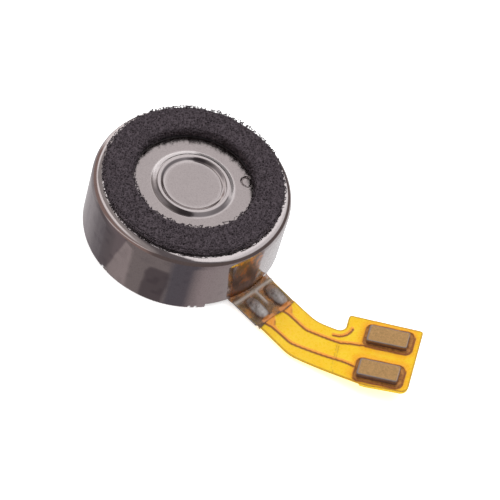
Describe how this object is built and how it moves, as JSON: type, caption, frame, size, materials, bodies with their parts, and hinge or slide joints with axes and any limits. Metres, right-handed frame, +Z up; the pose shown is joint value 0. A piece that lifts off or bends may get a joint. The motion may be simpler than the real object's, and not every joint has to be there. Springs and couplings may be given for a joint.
{
  "type": "vibration coin motor",
  "caption": "Flat round vibration motor in a metal can with a foam ring on top and a short flexible circuit tail that ends in two raised contact pads.",
  "frame": {"origin": "centre of the flat underside of the base, on the can's axis", "axes": "+Z up the can's axis towards the foam ring; +X along the contact tab at the tail's end"},
  "size_m": [0.0179, 0.0118, 0.0039],
  "materials": {
    "can_nickel": "polished nickel plate, satin top",
    "base_steel": "nickel-plated steel",
    "circuit": "polyimide film",
    "shaft_steel": "ground",
    "bearing_bronze": "sintered",
    "washer": "satin",
    "magnet": "nickel plated",
    "brush_metal": "gold plated spring",
    "rotor_board": "glass-epoxy board",
    "commutator": "gold plated copper",
    "coil_wire": "enamelled wire",
    "tungsten": "sintered tungsten",
    "mould_resin": "moulded resin",
    "adhesive": "film",
    "foam": "open-cell foam",
    "polyimide": "amber translucent film",
    "coverlay": "amber translucent film",
    "copper": "rolled copper",
    "stiffener": "polyimide plate",
    "pad_metal": "satin gold-brown plating",
    "solder": "bright solder",
    "tape": "smoky translucent tape"
  },
  "bodies": {
    "motor": {"can": "can_nickel", "bracket": "base_steel", "motor_flex": "circuit", "shaft": "shaft_steel", "lower_washer": "washer", "upper_washer": "washer", "ring_magnet": "magnet", "brush_positive": "brush_metal", "brush_negative": "brush_metal", "foam_adhesive": "adhesive", "foam_ring": "foam", "tail_film": "polyimide", "tail_coverlay": "coverlay", "trace_inner": "copper", "trace_outer": "copper", "solder_joint_inner": "solder", "solder_joint_outer": "solder", "insulating_tape": "tape"},
    "rotor": {"bearing": "bearing_bronze", "rotor_board": "rotor_board", "commutator_segments": "commutator", "coil_a": "coil_wire", "coil_b": "coil_wire", "counterweight": "tungsten", "rotor_mould": "mould_resin"},
    "contact_tab": {"stiffener": "stiffener", "contact_pad_inner": "pad_metal", "contact_pad_outer": "pad_metal", "tear_stop": "copper"}
  },
  "joints": [
    {"name": "rotor_spin", "type": "hinge", "parent": "motor", "child": "rotor", "pos_m": [0, 0, 0.0018], "axis": [0, 0, 1], "continuous": true},
    {"name": "tail_flex", "type": "hinge", "parent": "motor", "child": "contact_tab", "pos_m": [0.00775, -0.005, 0.00033], "axis": [0, -1, 0], "range_deg": [-90, 90], "stiffness_Nm_per_rad": 0.00044, "deforming": ["tail_film", "tail_coverlay", "trace_inner", "trace_outer"]}
  ]
}
